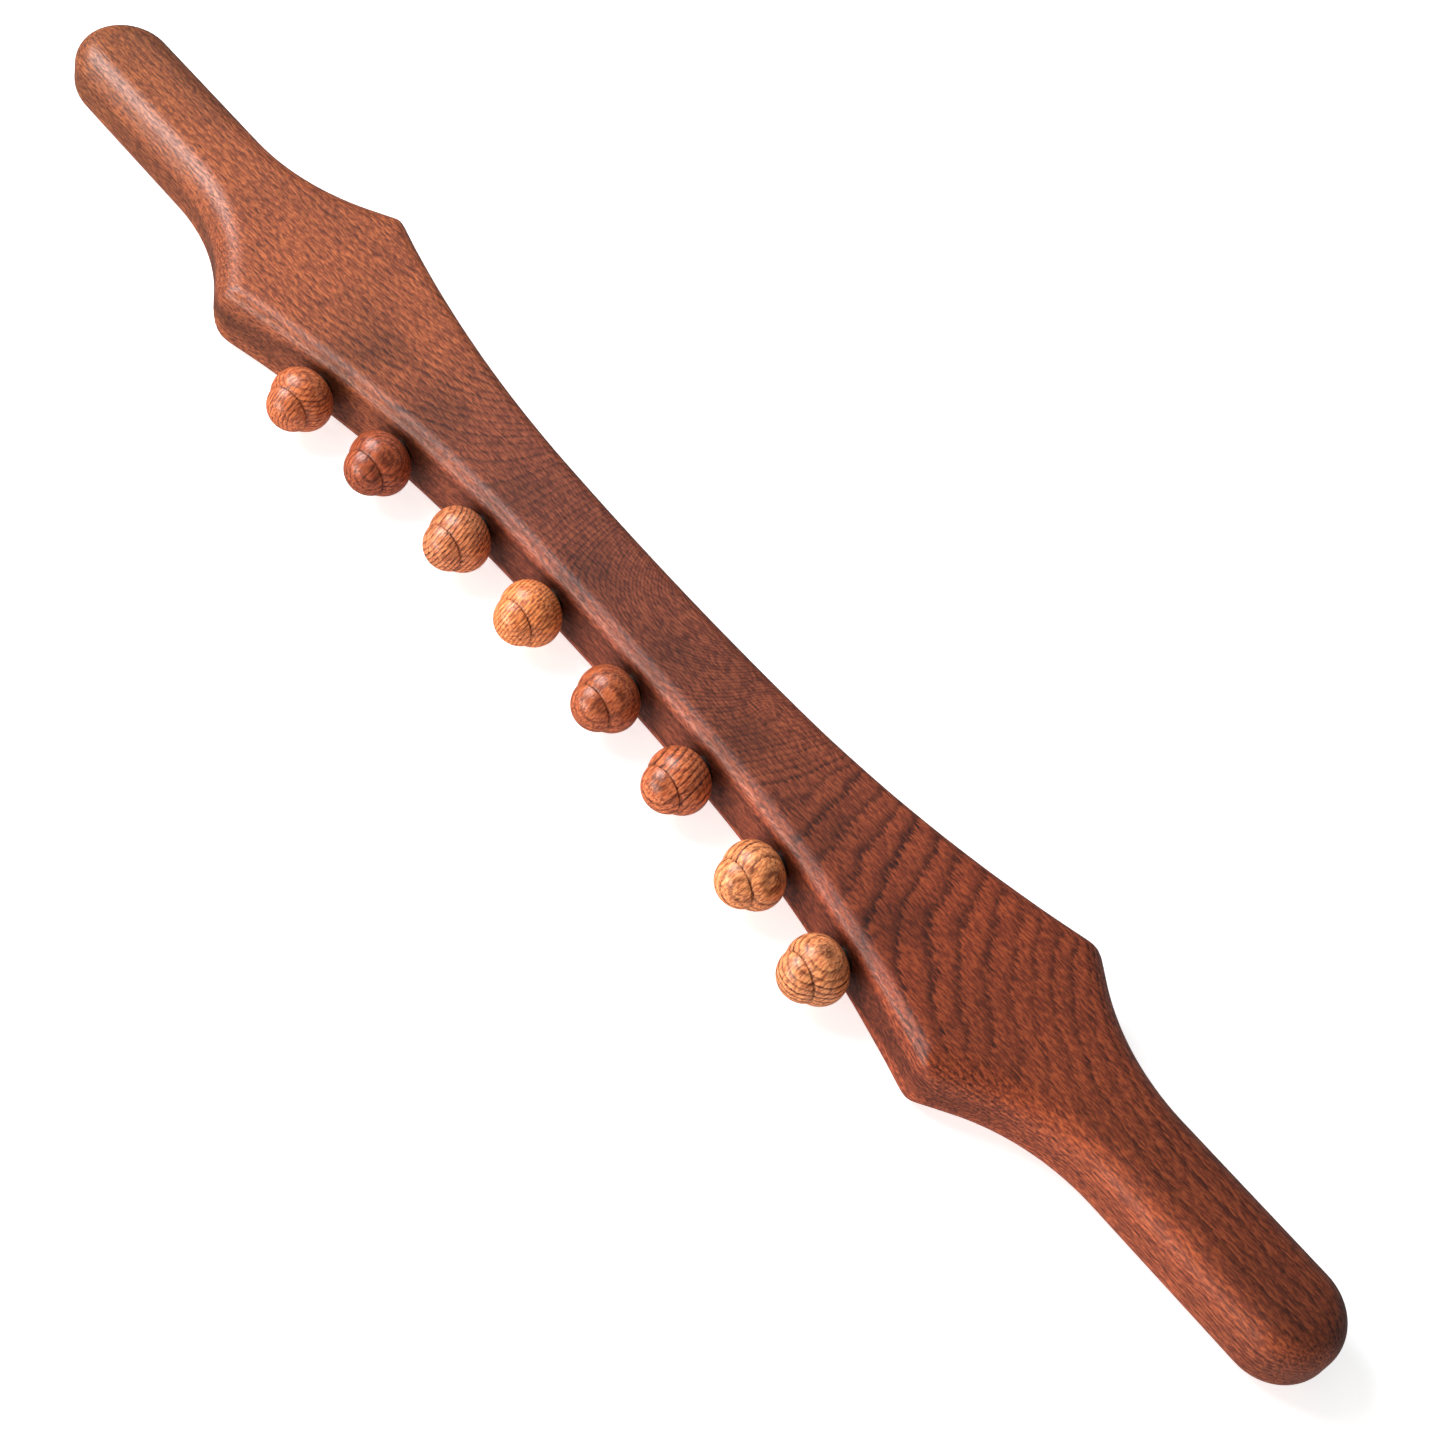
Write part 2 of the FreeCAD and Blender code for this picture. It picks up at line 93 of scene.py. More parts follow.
# ---- rollers --------------------------------------------------------------------------------
STAND_OFF_MM = 1.1
BELLY_RADIUS_MM, BELLY_OFFSET_MM, BELLY_HEIGHT_MM = 7.0, 2.4, 6.75
NOSE_RADIUS_MM, NOSE_HEIGHT_MM = 7.35, 10.35
NECK_RADIUS_MM, CREASE_RADIUS_MM, CREASE_HEIGHT_MM = 6.65, 6.4, 12.35
BORE_RADIUS_MM, BORE_DEPTH_MM = 1.5, 11.0
BORE_MOUTH_MM = 0.15
RIM_EASE_MM, RIM_EDGE_MM, RIM_RISE_MM = 0.5, 0.15, 0.03
CREASE_LIP_MM, CREASE_RISE_MM, CREASE_WIDTH_MM = 0.08, 0.14, 0.4
BELLY_POINTS, NOSE_POINTS = 34, 26
TURN_SEGMENTS = 112


def outline_depth(x, y):
    """How far a plan point lies inside each carved form: (waist, handle) in millimetres."""
    x, side = np.abs(x), np.where(y >= 0, WAIST_HALF_MM["back"], WAIST_HALF_MM["front"])
    y = np.abs(y)
    turn = math.asin(ARC_JOIN_MM / MIDDLE_RADIUS_MM)
    outer_x = ARC_JOIN_MM - OUTER_RADIUS_MM * math.sin(turn)
    outer_y = side + MIDDLE_RADIUS_MM - (MIDDLE_RADIUS_MM - OUTER_RADIUS_MM) * math.cos(turn)
    middle = np.hypot(x, side + MIDDLE_RADIUS_MM - y) - MIDDLE_RADIUS_MM
    outer = np.hypot(x - outer_x, outer_y - y) - OUTER_RADIUS_MM
    past_join = (x - outer_x) > (outer_y - y) * math.tan(turn)
    waist = np.where(past_join, outer, middle)

    tip_x = HALF_LENGTH_MM - HANDLE_HALF_MM
    straight = HANDLE_HALF_MM - y
    tip = HANDLE_HALF_MM - np.hypot(x - tip_x, y)
    centre_y = HANDLE_HALF_MM + BLEND_RADIUS_MM
    blend = np.hypot(x - HANDLE_START_MM, centre_y - y) - BLEND_RADIUS_MM
    join_x = HANDLE_START_MM - BLEND_RADIUS_MM * math.sin(SLOPE)
    join_y = centre_y - BLEND_RADIUS_MM * math.cos(SLOPE)
    sloped = (join_x - x) * math.sin(SLOPE) + (join_y - y) * math.cos(SLOPE)
    on_blend = (HANDLE_START_MM - x) < (centre_y - y) * math.tan(SLOPE)
    handle = np.where(on_blend, blend, sloped)
    handle = np.where(x > HANDLE_START_MM, straight, handle)
    handle = np.where(x > tip_x, tip, handle)
    return waist, handle


def shoulder_corners():
    """Per side: the corner arc's centre and its outward direction and half opening, in plan."""
    found = {}
    for name, sign in (("back", 1), ("front", -1)):
        low, high = ARC_JOIN_MM, HANDLE_START_MM
        for _ in range(CORNER_BISECTIONS):
            x = (low + high) / 2
            y = edge_of(x, WAIST_HALF_MM[name])[0]
            inside = outline_depth(np.array(x), np.array(sign * y))[1] > 0
            low, high = (x, high) if inside else (low, x)
        y, turn = edge_of(low, WAIST_HALF_MM[name])
        lean, half = (SLOPE - turn) / 2, (SLOPE + turn) / 2
        out = np.array([math.sin(lean), math.cos(lean)])
        centre = np.array([low, y]) - out * CORNER_RADIUS_MM / math.cos(half)
        found[name] = (centre, out, half)
    return found


def edge_of(x, half_width):
    """Height and slope angle of a hollow long edge at a station along the bar."""
    turn = math.asin(ARC_JOIN_MM / MIDDLE_RADIUS_MM)
    if x <= ARC_JOIN_MM:
        here = math.asin(x / MIDDLE_RADIUS_MM)
        return half_width + MIDDLE_RADIUS_MM * (1 - math.cos(here)), here
    here = math.asin((x - ARC_JOIN_MM) / OUTER_RADIUS_MM + math.sin(turn))
    rise = MIDDLE_RADIUS_MM * (1 - math.cos(turn)) + OUTER_RADIUS_MM * (math.cos(turn) - math.cos(here))
    return half_width + rise, here


CORNERS = shoulder_corners()


def corner_depth(x, y, waist):
    """The waist form's depth with the shoulder corners blunted to an arc."""
    depth = waist
    for name, sign in (("back", 1), ("front", -1)):
        centre, out, half = CORNERS[name]
        dx, dy = np.abs(x) - centre[0], sign * y - centre[1]
        reach = np.hypot(dx, dy)
        facing = (dx * out[0] + dy * out[1]) > reach * math.cos(half)
        depth = np.where(facing & (sign * y > 0), np.minimum(depth, CORNER_RADIUS_MM - reach), depth)
    return depth


def drop(depth, radius):
    """How far a round-over falls below the flat face at a distance in from its outline."""
    across = radius - np.clip(depth, 0, radius)
    return radius - np.sqrt(np.maximum(radius**2 - across**2, 0))


def half_height(x, y):
    """Half thickness over a plan point, and how far the point lies inside the outline.

    Where the two round-overs cross, they meet in a worn mitre.
    """
    waist, handle = outline_depth(x, y)
    waist = corner_depth(x, y, waist)
    a, b = drop(waist, WAIST_ROUND_MM), drop(handle, HANDLE_ROUND_MM)
    both = (a**RIDGE_SHARPNESS + b**RIDGE_SHARPNESS) ** (1 / RIDGE_SHARPNESS)
    return HALF_THICK_MM - both, np.minimum(waist, handle)


def half_width(x, sign):
    """Plan half width of the bar at each station, on one side."""
    low, high = np.zeros_like(x), np.full_like(x, WIDEST_MM)
    for _ in range(WIDTH_BISECTIONS):
        y = (low + high) / 2
        inside = half_height(x, sign * y)[1] > 0
        low, high = np.where(inside, y, low), np.where(inside, high, y)
    return low


def bar_stations():
    """Stations along X, closer together where the tips round off."""
    tip_x = HALF_LENGTH_MM - HANDLE_HALF_MM
    count = round(tip_x / STATION_STEP_MM)
    straight = np.linspace(0, tip_x, count + 1)
    turn = np.linspace(0, math.pi / 2, TIP_STATIONS + 1)[1:]
    tip = tip_x + HANDLE_HALF_MM * np.sin(turn)
    tip[-1] = HALF_LENGTH_MM - TIP_INSET_MM
    right = np.concatenate([straight, tip])
    return np.concatenate([-right[:0:-1], right])


def section(x, back, front):
    """One closed section of the bar, resampled to evenly spaced points, as (y, z) pairs."""
    share = (1 - np.cos(np.linspace(0, math.pi, FINE_POINTS))) / 2
    y = -front + (front + back) * share
    height = half_height(np.full_like(y, x), y)[0]
    path_y = np.concatenate([[y[0]], y, [y[-1]]])
    path_z = np.concatenate([[0], height, [0]])
    run = np.concatenate([[0], np.cumsum(np.hypot(np.diff(path_y), np.diff(path_z)))])
    at = np.linspace(0, run[-1], SECTION_POINTS)
    top_y, top_z = np.interp(at, run, path_y), np.interp(at, run, path_z)
    return (
        np.concatenate([top_y, top_y[-2:0:-1]]),
        np.concatenate([top_z, -top_z[-2:0:-1]]),
    )


def mesh_object(name, points, faces):
    """A smooth-shaded mesh object in the CAD frame, from points in metres."""
    mesh = bpy.data.meshes.new(name)
    mesh.from_pydata([tuple(p) for p in points], [], faces)
    mesh.update()
    made = bpy.data.objects.new(name, mesh)
    bpy.context.scene.collection.objects.link(made)
    mesh.polygons.foreach_set("use_smooth", [True] * len(mesh.polygons))
    return made


def tube_faces(rings, around):
    """Quads between consecutive closed rings of points, and an end cap on each side."""
    faces = []
    for ring in range(rings - 1):
        start, following = ring * around, (ring + 1) * around
        for k in range(around):
            k2 = (k + 1) % around
            faces.append((start + k, following + k, following + k2, start + k2))
    faces.append(tuple(range(around)))
    faces.append(tuple(reversed(range((rings - 1) * around, rings * around))))
    return faces


def carved_bar():
    """The bar as one carved surface, before its sockets are bored."""
    stations = bar_stations()
    back, front = half_width(stations, 1), half_width(stations, -1)
    points = []
    for x, b, f in zip(stations, back, front):
        y, z = section(x, b, f)
        points.append(np.stack([np.full_like(y, x), y, z + HALF_THICK_MM], axis=1))
    around = len(points[0])
    return mesh_object("carved_bar", np.concatenate(points) * MM, tube_faces(len(stations), around))


def roller_frames():
    """Matrix of each roller: local Z out of the bar on its axle, local X along the bar."""
    frames = []
    for joint in sorted(frame["joints"], key=lambda joint: joint["name"]):
        out = Vector(joint["axis"]).normalized()
        up = Vector((0, 0, 1))
        along = up.cross(out) * -1
        along = along if along.x > 0 else -along
        axes = Matrix((along, out.cross(along), out)).transposed()
        frames.append((joint["child"], Matrix.Translation(joint["pos_m"]) @ axes.to_4x4()))
    return frames


ROLLER_FRAMES = roller_frames()


def turned(name, profile, place, segments):
    """A closed solid turned from (radius, height) pairs whose first and last radius is zero."""
    angles = np.linspace(0, 2 * math.pi, segments, endpoint=False)
    points = [(0, 0, profile[0][1])]
    for radius, height in profile[1:-1]:
        points += [(radius * math.cos(a), radius * math.sin(a), height) for a in angles]
    points.append((0, 0, profile[-1][1]))
    faces = []
    rings = len(profile) - 2
    last = len(points) - 1
    for k in range(segments):
        k2 = (k + 1) % segments
        faces.append((0, 1 + k2, 1 + k))
        for ring in range(rings - 1):
            a, b = 1 + ring * segments, 1 + (ring + 1) * segments
            faces.append((a + k, a + k2, b + k2, b + k))
        top = 1 + (rings - 1) * segments
        faces.append((last, top + k, top + k2))
    flat = [place @ (Vector(p) * MM) for p in points]
    return mesh_object(name, flat, faces)


def bored(bar, places):
    """Bore the stepped sockets for the bushes out of the bar."""
    for number, place in enumerate(places, start=1):
        steps = [
            (0, -SOCKET_DEPTH_MM),
            (SOCKET_RADIUS_MM, -SOCKET_DEPTH_MM),
            (SOCKET_RADIUS_MM, -SEAT_DEPTH_MM),
            (SEAT_RADIUS_MM, -SEAT_DEPTH_MM),
            (SEAT_RADIUS_MM, DRILL_OVERRUN_MM),
            (0, DRILL_OVERRUN_MM),
        ]
        drill = turned(f"drill_{number}", steps, place, DRILL_SEGMENTS)
        cut = bar.modifiers.new(f"socket_{number}", "BOOLEAN")
        cut.operation = "DIFFERENCE"
        cut.solver = "EXACT"
        cut.object = drill
    bpy.context.view_layer.update()
    evaluated = bar.evaluated_get(bpy.context.evaluated_depsgraph_get())
    mesh = bpy.data.meshes.new_from_object(evaluated)
    bar.modifiers.clear()
    bar.data = mesh
    for item in [o for o in bpy.data.objects if o.name.startswith("drill_")]:
        bpy.data.objects.remove(item)
    mesh.set_sharp_from_angle(angle=SHARP_ANGLE)
    return bar


def roller_profile():
    """Outline of a roller: blind bore, flat back, wide belly, worn crease and ball nose."""
    back_turn = -math.asin(BELLY_HEIGHT_MM / BELLY_RADIUS_MM)
    neck_turn = math.acos((NECK_RADIUS_MM - BELLY_OFFSET_MM) / BELLY_RADIUS_MM)
    points = [(0, BORE_DEPTH_MM), (BORE_RADIUS_MM, BORE_DEPTH_MM)]
    points += [(BORE_RADIUS_MM, BORE_MOUTH_MM), (BORE_RADIUS_MM + BORE_MOUTH_MM, 0)]
    rim = BELLY_OFFSET_MM + BELLY_RADIUS_MM * math.cos(back_turn)
    points += [(rim - RIM_EASE_MM, 0), (rim - RIM_EDGE_MM, RIM_RISE_MM)]
    for turn in np.linspace(back_turn + 0.06, neck_turn - 0.03, BELLY_POINTS):
        points.append((
            BELLY_OFFSET_MM + BELLY_RADIUS_MM * math.cos(turn),
            BELLY_HEIGHT_MM + BELLY_RADIUS_MM * math.sin(turn),
        ))
    neck_height = BELLY_HEIGHT_MM + BELLY_RADIUS_MM * math.sin(neck_turn)
    points.append((CREASE_RADIUS_MM + CREASE_LIP_MM, neck_height))
    points.append((CREASE_RADIUS_MM, neck_height + CREASE_RISE_MM))
    nose_turn = math.asin((neck_height + CREASE_WIDTH_MM - NOSE_HEIGHT_MM) / NOSE_RADIUS_MM)
    for turn in np.linspace(nose_turn, math.pi / 2, NOSE_POINTS):
        points.append((
            NOSE_RADIUS_MM * math.cos(turn),
            NOSE_HEIGHT_MM + NOSE_RADIUS_MM * math.sin(turn),
        ))
    return [(max(radius, 0.0), height + STAND_OFF_MM) for radius, height in points]


# ---- grain ----------------------------------------------------------------------------------
# Growth rings are the whole-number surfaces of a smooth field through the wood.  Along the bar
# the field's steepness along X and across Y is given at a few stations: (x, along, across,
# how dark the lines are), in rings per millimetre.
RING_STEEPNESS = [
    (-260, 0.0, 0.36, 0.55),
    (-190, -0.01, 0.36, 0.50),
    (-150, -0.05, 0.35, 0.50),
    (-120, -0.085, 0.33, 0.60),
    (-95, -0.13, 0.30, 0.65),
    (-78, -0.20, 0.27, 0.65),
    (-62, -0.30, 0.18, 0.60),
    (-48, -0.34, 0.03, 0.55),
    (-34, -0.45, -0.04, 0.65),
    (-18, -0.70, -0.20, 0.65),
    (0, -0.55, -0.85, 0.65),
    (10, 0.0, -1.0, 0.65),
    (20, 0.55, -0.85, 0.65),
    (33, 0.80, -0.45, 0.65),
    (48, 0.75, -0.28, 0.60),
    (62, 0.50, -0.16, 0.60),
    (72, 0.16, 0.02, 0.78),
    (90, 0.13, 0.04, 0.82),
    (112, 0.11, 0.055, 0.82),
    (135, 0.11, 0.10, 0.80),
    (155, 0.11, 0.15, 0.75),
    (175, 0.08, 0.20, 0.65),
    (195, 0.03, 0.24, 0.60),
    (215, 0.0, 0.28, 0.60),
    (260, 0.0, 0.28, 0.60),
]
GRAIN_SAMPLES = 2081
GRAIN_BLUR, GRAIN_BLUR_REACH = 16, 40
RINGS_THROUGH_THICKNESS = 0.05
RINGS_DOWN_THE_SIDES, RINGS_DOWN_THE_WAIST = 0.75, 0.1
SIDE_TURN_MM = 4
PLAIN_SIDE, PLAIN_SIDE_MM = 0.9, 2.5
# A small eye in the rings: its place, its reach along and across, and how many rings it lifts.
EYE_X_MM, EYE_Y_MM, EYE_ALONG_MM, EYE_ACROSS_MM, EYE_RINGS = 47, 4, 4.5, 4.0, 2.2
# Toward the right handle the rings bend round a line along the bar instead of crossing it.
BOWL_START_MM, BOWL_BLEND_MM, BOWL_Y_MM, BOWL_ROUND_MM, BOWL_LIFT_MM = 140, 50, 9, 3, 9.5
# From the shoulders outward the bar takes on the handles' looks.
HANDLE_LOOK_START_MM, HANDLE_LOOK_BLEND_MM = 115, 30

# Tone is how light the wood is next to the flat top.  The values below are not a property of
# the wood: they paint the light and shadow of one studio set-up onto it, on top of the
# rendered light, and stay put when the light changes.
# Front round-over and front side: (x, round-over, side).
FRONT_TONE = [
    (-260, 0.80, 0.60),
    (-200, 0.78, 0.58),
    (-165, 0.65, 0.30),
    (-130, 0.70, 0.42),
    (-95, 0.85, 0.68),
    (-70, 1.00, 0.72),
    (-40, 1.30, 0.72),
    (0, 1.30, 0.68),
    (30, 1.35, 0.78),
    (60, 1.35, 0.80),
    (110, 1.10, 0.60),
    (135, 1.00, 0.45),
    (150, 1.15, 0.75),
    (190, 1.40, 1.20),
    (240, 1.65, 1.45),
    (260, 1.65, 1.45),
]
BACK_TONE = 0.80
# A round-over runs from 0 to 1 here: where its tone, the side's tone and a dark line begin.
BAND_BLEND, SIDE_START, SIDE_BLEND = 0.3, 0.75, 0.35
LINE_DARKNESS, LINE_PLACE, LINE_WIDTH = 0.28, 1.12, 0.16
# A painted shadow on the bar, up and to the right of each roller's socket.  Known fault: it
# isn't limited to the front side, so it also darkens the front half of both flat faces there.
CONTACT_DARKNESS, CONTACT_RADIUS_MM, CONTACT_SHIFT_MM = 0.6, 10.0, 2.5
# A darker streak along the back half of the left handle.
STREAK_DARKNESS, STREAK_END_MM, STREAK_BLEND_MM = 0.3, -190, 20
STREAK_Y_MM, STREAK_EDGE_MM = 1, 6
FRONT_SHARE_MIDDLE, FRONT_BLEND_MM = 0.5, 8


def grain_of_bar(points):
    """Ring number and darkness of the ring lines at each point of the bar, for points in metres."""
    x, y, z = points[:, 0] / MM, points[:, 1] / MM, points[:, 2] / MM
    stations, along, across, strength = (np.array(column, float) for column in zip(*RING_STEEPNESS))
    fine = np.linspace(stations[0], stations[-1], GRAIN_SAMPLES)
    kernel = np.exp(-0.5 * (np.arange(-GRAIN_BLUR_REACH, GRAIN_BLUR_REACH + 1) / GRAIN_BLUR) ** 2)
    kernel /= kernel.sum()

    def smooth(values):
        padded = np.pad(np.interp(fine, stations, values), GRAIN_BLUR_REACH, mode="edge")
        return np.convolve(padded, kernel, "valid")

    along, across, strength = smooth(along), smooth(across), smooth(strength)
    total = np.concatenate([[0], np.cumsum((along[1:] + along[:-1]) / 2 * np.diff(fine))])
    slope_across = np.interp(x, fine, across)
    rings = np.interp(x, fine, total) + slope_across * y
    eye = np.exp(-((x - EYE_X_MM) / EYE_ALONG_MM) ** 2 - ((y - EYE_Y_MM) / EYE_ACROSS_MM) ** 2)
    bowl_share = smooth_step((x - BOWL_START_MM) / BOWL_BLEND_MM)
    bowl = (np.sqrt((y + BOWL_Y_MM) ** 2 + BOWL_ROUND_MM**2) - BOWL_LIFT_MM - y) * slope_across
    fold = fold_of(z)
    on_handle = handle_share(x)
    per_mm = RINGS_DOWN_THE_SIDES * on_handle + RINGS_DOWN_THE_WAIST
    sides = np.tanh(y / SIDE_TURN_MM) * fold * per_mm
    depth = (2 * HALF_THICK_MM - z) * RINGS_THROUGH_THICKNESS
    plain_sides = (1 - on_handle) * smooth_step(fold / PLAIN_SIDE_MM) * PLAIN_SIDE
    strength = np.interp(x, fine, strength) * (1 - plain_sides)
    return rings + EYE_RINGS * eye + bowl_share * bowl + sides + depth, strength


def handle_share(x):
    """0 on the waist, 1 on the handles and a smooth rise over the shoulders."""
    return smooth_step((np.abs(x) - HANDLE_LOOK_START_MM) / HANDLE_LOOK_BLEND_MM)


def fold_of(z):
    """How far a height lies from the nearer of the two flat faces."""
    return HALF_THICK_MM - np.abs(z - HALF_THICK_MM)


def tone_of_bar(points):
    """Painted tone at each point of the bar, for points in metres.

    It is 1 on the flat faces, apart from the rollers' painted shadows and the streak.
    """
    x, y, z = points[:, 0] / MM, points[:, 1] / MM, points[:, 2] / MM
    stations, band, side = (np.array(column, float) for column in zip(*FRONT_TONE))
    band, side = np.interp(x, stations, band), np.interp(x, stations, side)
    on_handle = handle_share(x)
    radius = WAIST_ROUND_MM + (HANDLE_ROUND_MM - WAIST_ROUND_MM) * on_handle
    share = fold_of(z) / radius
    on_band = smooth_step(share / BAND_BLEND)
    on_side = smooth_step((share - SIDE_START) / SIDE_BLEND)
    front = 1 + (band - 1) * on_band + (side - band) * on_side
    line = np.exp(-(((share - LINE_PLACE) / LINE_WIDTH) ** 2)) * (1 - on_handle)
    front = front * (1 - LINE_DARKNESS * line)
    back = 1 + (BACK_TONE - 1) * on_band
    for _, place in ROLLER_FRAMES:
        socket = np.array(place.translation) / MM
        right = x - socket[0] - CONTACT_SHIFT_MM
        above = z - socket[2] - CONTACT_SHIFT_MM
        reach = np.hypot(right, above) / CONTACT_RADIUS_MM
        front = front * (1 - CONTACT_DARKNESS * np.exp(-(reach**3)))
    front_share = smooth_step(FRONT_SHARE_MIDDLE - y / FRONT_BLEND_MM)
    streak = smooth_step((STREAK_END_MM - x) / STREAK_BLEND_MM)
    streak = streak * smooth_step((y - STREAK_Y_MM) / STREAK_EDGE_MM)
    return (front * front_share + back * (1 - front_share)) * (1 - STREAK_DARKNESS * streak)


def smooth_step(share):
    """0 below 0, 1 above 1 and a smooth rise between."""
    share = np.clip(share, 0, 1)
    return share * share * (3 - 2 * share)


def store(mesh, name, values):
    """Keep one number per vertex on the mesh, for the material to read."""
    layer = mesh.attributes.new(name, "FLOAT", "POINT")
    layer.data.foreach_set("value", np.asarray(values, np.float32))


def vertex_array(mesh):
    """The mesh's vertices as an array of points."""
    flat = np.zeros(len(mesh.vertices) * 3, np.float32)
    mesh.vertices.foreach_get("co", flat)
    return flat.reshape(-1, 3).astype(float)


# ---- material building ----------------------------------------------------------------------
class Shader:
    """A small helper to write a node tree as expressions."""

    def __init__(self, name):
        self.material = bpy.data.materials.new(name)
        self.material.use_nodes = True
        self.tree = self.material.node_tree
        self.surface = self.tree.nodes["Principled BSDF"]

    def node(self, kind, inputs=(), **settings):
        made = self.tree.nodes.new(kind)
        for key, setting in settings.items():
            setattr(made, key, setting)
        for key, source in dict(inputs).items():
            self.feed(made.inputs[key], source)
        return made

    def feed(self, socket, source):
        if isinstance(source, bpy.types.NodeSocket):
            self.tree.links.new(source, socket)
        else:
            socket.default_value = source

    def maths(self, operation, *values, clamp=False):
        made = self.node("ShaderNodeMath", enumerate(values), operation=operation, use_clamp=clamp)
        return made.outputs[0]

    def noise(self, coords, scale, detail=2.0, roughness=0.5, distortion=0.0):
        inputs = {
            "Vector": coords, "Scale": scale, "Detail": detail,
            "Roughness": roughness, "Distortion": distortion,
        }
        return self.node("ShaderNodeTexNoise", inputs).outputs["Fac"]

    def stretched(self, coords, scale):
        made = self.node("ShaderNodeMapping", {"Vector": coords, "Scale": scale})
        return made.outputs["Vector"]

    def spread(self, value, low, high, new_low=0.0, new_high=1.0):
        inputs = {0: value, 1: low, 2: high, 3: new_low, 4: new_high}
        return self.node("ShaderNodeMapRange", inputs).outputs[0]

    def ramp(self, value, stops):
        made = self.node("ShaderNodeValToRGB", {"Fac": value})
        ramp = made.color_ramp
        while len(ramp.elements) < len(stops):
            ramp.elements.new(0.5)
        for element, (place, colour) in zip(ramp.elements, stops):
            element.position = place
            element.color = (*colour, 1) if isinstance(colour, tuple) else (colour, colour, colour, 1)
        return made.outputs["Color"]

    def blend(self, fac, a, b, mode="MIX"):
        made = self.node("ShaderNodeMix", data_type="RGBA", blend_type=mode)
        self.feed(made.inputs["Factor"], fac)
        self.feed(made.inputs[6], a)
        self.feed(made.inputs[7], b)
        return made.outputs[2]

    def shaded(self, colour, factor):
        """A colour made lighter or darker by a number."""
        return self.node("ShaderNodeVectorMath", {0: colour, 3: factor}, operation="SCALE").outputs[0]

    def bump(self, height, strength, distance, normal=None):
        inputs = {"Height": height, "Strength": strength, "Distance": distance}
        if normal is not None:
            inputs["Normal"] = normal
        return self.node("ShaderNodeBump", inputs).outputs["Normal"]


def rgb(red, green, blue):
    """A colour from its usual 0-255 numbers, as linear light."""
    def linear(part):
        part /= 255
        return part / 12.92 if part <= 0.04045 else ((part + 0.055) / 1.055) ** 2.4
    return (linear(red), linear(green), linear(blue))


X_AXIS, Y_AXIS = 0, 1
# Colour of the dark, the plain and the bright flecks, at half strength.
BAR_FLECKS = ((0.31, 0.28, 0.30), (0.50, 0.48, 0.48), (0.72, 0.77, 0.68))
ROLLER_FLECKS = ((0.35, 0.26, 0.22), (0.50, 0.48, 0.46), (0.68, 0.70, 0.66))
# Noise cells per metre along and across the fibre, detail, shift.
COARSE_FLECKS = (390.0, 1650.0, 1.0, 0.0)
FINE_FLECKS = (750.0, 2500.0, 1.0, 7.3)
PORES = (330.0, 1900.0, 0.5, 19.1)
COARSE_SHARE, FINE_SHARE, FLECK_SPREAD = 0.62, 0.38, 0.10
PORE_START, PORE_FULL, PORE_DEPTH, PORE_DARK = 0.56, 0.64, 0.6, 0.38
CLOUD_SCALE, CLOUD_DARK, CLOUD_LIGHT = 38.0, 0.86, 1.12
SLOW_WARP_SCALE, QUICK_WARP_SCALE = 70.0, 320.0
FAINTEST_RING = 0.55
DARKEST_IN_RING = 0.79
# How dark the wood is across one ring: slow rise to the late wood, then a sharp fall.
RING_PROFILE = [(0.0, 0.0), (0.45, 0.05), (0.66, 0.55), (DARKEST_IN_RING, 1.0), (0.91, 0.8), (1.0, 0.0)]
WOOD_SPECULAR = 0.5
FINE_BUMP, FINE_BUMP_M, BROAD_BUMP, BROAD_BUMP_M = 0.4, 0.0001, 0.12, 0.0006


